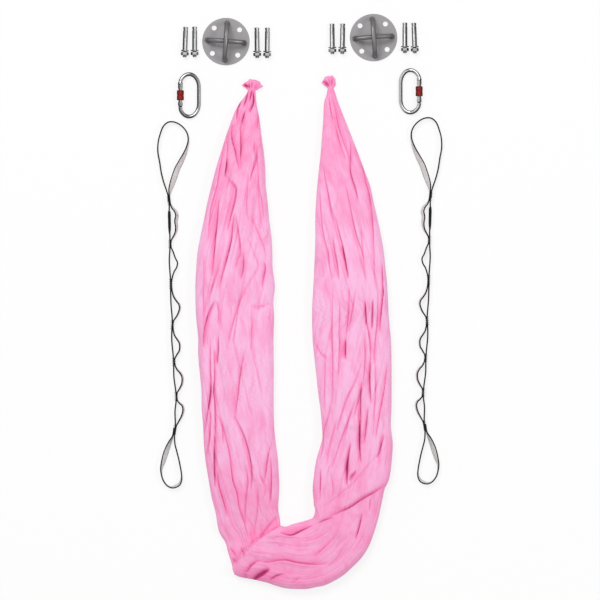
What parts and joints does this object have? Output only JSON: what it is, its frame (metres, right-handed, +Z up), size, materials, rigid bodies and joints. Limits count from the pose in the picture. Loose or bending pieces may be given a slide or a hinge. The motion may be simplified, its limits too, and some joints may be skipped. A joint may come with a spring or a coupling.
{
  "type": "aerial hammock kit",
  "caption": "Gathered aerial hammock cloth knotted at both ends, with ceiling plates, sleeve anchors, screw-lock carabiners and daisy chains",
  "frame": {"origin": "the middle of the laid-out kit's box, on the floor", "axes": "+X to the right of the picture, +Y to its top edge, where the ceiling plates lie, +Z up towards the camera"},
  "size_m": [0.7134, 1.4344, 0.0506],
  "materials": {
    "pink_jersey": "soft matt stretch jersey",
    "plate_grey": "satin grey coating",
    "bar_grey": "satin dark grey coating",
    "zinc_steel": "bright zinc plate",
    "polished_steel": "polished steel",
    "red_anodised": "red anodised, knurled",
    "grey_webbing": "matt woven webbing with black edges"
  },
  "bodies": {
    "hammock_cloth": {"hammock_cloth": "pink_jersey"},
    "left_ceiling_plate": {"left_plate_disc": "plate_grey", "left_plate_lower_bar": "bar_grey", "left_plate_upper_bar": "bar_grey"},
    "right_ceiling_plate": {"right_plate_disc": "plate_grey", "right_plate_lower_bar": "bar_grey", "right_plate_upper_bar": "bar_grey"},
    "left_outer_anchor": {"left_outer_anchor_stud": "zinc_steel", "left_outer_anchor_sleeve": "zinc_steel", "left_outer_anchor_washer": "zinc_steel"},
    "left_outer_nut": {"left_outer_anchor_nut": "zinc_steel"},
    "left_second_anchor": {"left_second_anchor_stud": "zinc_steel", "left_second_anchor_sleeve": "zinc_steel", "left_second_anchor_washer": "zinc_steel"},
    "left_second_nut": {"left_second_anchor_nut": "zinc_steel"},
    "left_third_anchor": {"left_third_anchor_stud": "zinc_steel", "left_third_anchor_sleeve": "zinc_steel", "left_third_anchor_washer": "zinc_steel"},
    "left_third_nut": {"left_third_anchor_nut": "zinc_steel"},
    "left_inner_anchor": {"left_inner_anchor_stud": "zinc_steel", "left_inner_anchor_sleeve": "zinc_steel", "left_inner_anchor_washer": "zinc_steel"},
    "left_inner_nut": {"left_inner_anchor_nut": "zinc_steel"},
    "right_outer_anchor": {"right_outer_anchor_stud": "zinc_steel", "right_outer_anchor_sleeve": "zinc_steel", "right_outer_anchor_washer": "zinc_steel"},
    "right_outer_nut": {"right_outer_anchor_nut": "zinc_steel"},
    "right_second_anchor": {"right_second_anchor_stud": "zinc_steel", "right_second_anchor_sleeve": "zinc_steel", "right_second_anchor_washer": "zinc_steel"},
    "right_second_nut": {"right_second_anchor_nut": "zinc_steel"},
    "right_third_anchor": {"right_third_anchor_stud": "zinc_steel", "right_third_anchor_sleeve": "zinc_steel", "right_third_anchor_washer": "zinc_steel"},
    "right_third_nut": {"right_third_anchor_nut": "zinc_steel"},
    "right_inner_anchor": {"right_inner_anchor_stud": "zinc_steel", "right_inner_anchor_sleeve": "zinc_steel", "right_inner_anchor_washer": "zinc_steel"},
    "right_inner_nut": {"right_inner_anchor_nut": "zinc_steel"},
    "left_carabiner": {"left_carabiner_frame": "polished_steel", "left_carabiner_hinge_pin": "polished_steel"},
    "left_gate": {"left_carabiner_gate": "polished_steel", "left_carabiner_gate_spring": "zinc_steel", "left_carabiner_latch_pin": "polished_steel"},
    "left_lock_sleeve": {"left_carabiner_lock_sleeve": "red_anodised"},
    "right_carabiner": {"right_carabiner_frame": "polished_steel", "right_carabiner_hinge_pin": "polished_steel"},
    "right_gate": {"right_carabiner_gate": "polished_steel", "right_carabiner_gate_spring": "zinc_steel", "right_carabiner_latch_pin": "polished_steel"},
    "right_lock_sleeve": {"right_carabiner_lock_sleeve": "red_anodised"},
    "left_daisy_chain": {"left_daisy_chain": "grey_webbing"},
    "right_daisy_chain": {"right_daisy_chain": "grey_webbing"}
  },
  "joints": [
    {"name": "left_plate_lift", "type": "slide", "parent": "hammock_cloth", "child": "left_ceiling_plate", "axis": [0, 0, 1], "range_m": [0, 0.08]},
    {"name": "right_plate_lift", "type": "slide", "parent": "hammock_cloth", "child": "right_ceiling_plate", "axis": [0, 0, 1], "range_m": [0, 0.08]},
    {"name": "left_outer_anchor_lift", "type": "slide", "parent": "hammock_cloth", "child": "left_outer_anchor", "axis": [0, 0, 1], "range_m": [0, 0.08]},
    {"name": "left_second_anchor_lift", "type": "slide", "parent": "hammock_cloth", "child": "left_second_anchor", "axis": [0, 0, 1], "range_m": [0, 0.08]},
    {"name": "left_third_anchor_lift", "type": "slide", "parent": "hammock_cloth", "child": "left_third_anchor", "axis": [0, 0, 1], "range_m": [0, 0.08]},
    {"name": "left_inner_anchor_lift", "type": "slide", "parent": "hammock_cloth", "child": "left_inner_anchor", "axis": [0, 0, 1], "range_m": [0, 0.08]},
    {"name": "right_outer_anchor_lift", "type": "slide", "parent": "hammock_cloth", "child": "right_outer_anchor", "axis": [0, 0, 1], "range_m": [0, 0.08]},
    {"name": "right_second_anchor_lift", "type": "slide", "parent": "hammock_cloth", "child": "right_second_anchor", "axis": [0, 0, 1], "range_m": [0, 0.08]},
    {"name": "right_third_anchor_lift", "type": "slide", "parent": "hammock_cloth", "child": "right_third_anchor", "axis": [0, 0, 1], "range_m": [0, 0.08]},
    {"name": "right_inner_anchor_lift", "type": "slide", "parent": "hammock_cloth", "child": "right_inner_anchor", "axis": [0, 0, 1], "range_m": [0, 0.08]},
    {"name": "left_carabiner_lift", "type": "slide", "parent": "hammock_cloth", "child": "left_carabiner", "axis": [0, 0, 1], "range_m": [0, 0.08]},
    {"name": "right_carabiner_lift", "type": "slide", "parent": "hammock_cloth", "child": "right_carabiner", "axis": [0, 0, 1], "range_m": [0, 0.08]},
    {"name": "left_daisy_chain_lift", "type": "slide", "parent": "hammock_cloth", "child": "left_daisy_chain", "axis": [0, 0, 1], "range_m": [0, 0.08]},
    {"name": "right_daisy_chain_lift", "type": "slide", "parent": "hammock_cloth", "child": "right_daisy_chain", "axis": [0, 0, 1], "range_m": [0, 0.08]},
    {"name": "left_outer_nut_turn", "type": "hinge", "parent": "left_outer_anchor", "child": "left_outer_nut", "pos_m": [-0.28721, 0.6171, 0.01055], "axis": [0.0331, 0.9972, -0.0664], "continuous": true},
    {"name": "left_second_nut_turn", "type": "hinge", "parent": "left_second_anchor", "child": "left_second_nut", "pos_m": [-0.26263, 0.61761, 0.01055], "axis": [0, 0.9978, -0.0664], "continuous": true},
    {"name": "left_third_nut_turn", "type": "hinge", "parent": "left_third_anchor", "child": "left_third_nut", "pos_m": [-0.10626, 0.61535, 0.01055], "axis": [-0.0157, 0.9977, -0.0664], "continuous": true},
    {"name": "left_inner_nut_turn", "type": "hinge", "parent": "left_inner_anchor", "child": "left_inner_nut", "pos_m": [-0.08152, 0.6151, 0.01055], "axis": [0.0122, 0.9977, -0.0664], "continuous": true},
    {"name": "right_outer_nut_turn", "type": "hinge", "parent": "right_outer_anchor", "child": "right_outer_nut", "pos_m": [0.28721, 0.6271, 0.01055], "axis": [-0.0331, 0.9972, -0.0664], "continuous": true},
    {"name": "right_second_nut_turn", "type": "hinge", "parent": "right_second_anchor", "child": "right_second_nut", "pos_m": [0.26263, 0.62761, 0.01055], "axis": [0, 0.9978, -0.0664], "continuous": true},
    {"name": "right_third_nut_turn", "type": "hinge", "parent": "right_third_anchor", "child": "right_third_nut", "pos_m": [0.10626, 0.62535, 0.01055], "axis": [0.0157, 0.9977, -0.0664], "continuous": true},
    {"name": "right_inner_nut_turn", "type": "hinge", "parent": "right_inner_anchor", "child": "right_inner_nut", "pos_m": [0.08152, 0.6251, 0.01055], "axis": [-0.0122, 0.9977, -0.0664], "continuous": true},
    {"name": "left_gate_hinge", "type": "hinge", "parent": "left_carabiner", "child": "left_gate", "pos_m": [-0.29829, 0.49132, 0.00885], "axis": [-0.0883, 0, -0.9961], "range_deg": [0, 28], "stiffness_Nm_per_rad": 0.4, "springref_deg": -17.19},
    {"name": "right_gate_hinge", "type": "hinge", "parent": "right_carabiner", "child": "right_gate", "pos_m": [0.29829, 0.50133, 0.00885], "axis": [-0.0883, 0, 0.9961], "range_deg": [0, 28], "stiffness_Nm_per_rad": 0.4, "springref_deg": -17.19},
    {"name": "left_lock_sleeve_slide", "type": "slide", "parent": "left_gate", "child": "left_lock_sleeve", "axis": [0, 1, 0], "range_m": [-0.003, 0.019]},
    {"name": "right_lock_sleeve_slide", "type": "slide", "parent": "right_gate", "child": "right_lock_sleeve", "axis": [0, 1, 0], "range_m": [-0.003, 0.019]}
  ]
}
